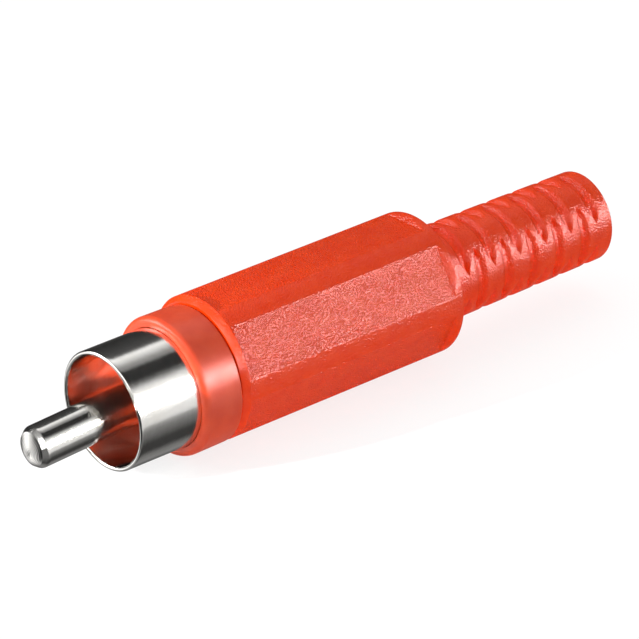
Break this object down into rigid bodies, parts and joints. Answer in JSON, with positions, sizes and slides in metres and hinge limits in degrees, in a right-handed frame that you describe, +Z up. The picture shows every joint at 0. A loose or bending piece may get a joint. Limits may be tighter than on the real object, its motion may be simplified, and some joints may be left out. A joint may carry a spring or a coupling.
{
  "type": "rca plug",
  "caption": "Solder-type phono plug with nickel contacts, a hexagonal screw-on plastic grip and an integral slotted kink-protection boot.",
  "frame": {"origin": "middle of the bounding box in X and Y, on the surface that the plug lies on", "axes": "+X from the pin's tip towards the cable end, +Z up from the surface, one grip flat facing straight down"},
  "size_m": [0.0532, 0.011, 0.0111],
  "materials": {
    "pin_plating": "bright nickel plating with fine drawn lines",
    "nickel_plating": "bright nickel plating with fine drawn lines",
    "red_moulding": "satin moulded red plastic",
    "tinned_strip": "dull tin plating",
    "red_sleeve_moulding": "satin red plastic, grained on the flats"
  },
  "bodies": {
    "contact_body": {"centre_pin": "pin_plating", "outer_contact": "nickel_plating", "contact_carrier": "red_moulding", "ground_lug": "tinned_strip"},
    "sleeve_body": {"sleeve": "red_sleeve_moulding"}
  },
  "joints": [
    {"name": "sleeve_pull_off", "type": "slide", "parent": "contact_body", "child": "sleeve_body", "axis": [1, 0, 0], "range_m": [0, 0.02]}
  ]
}
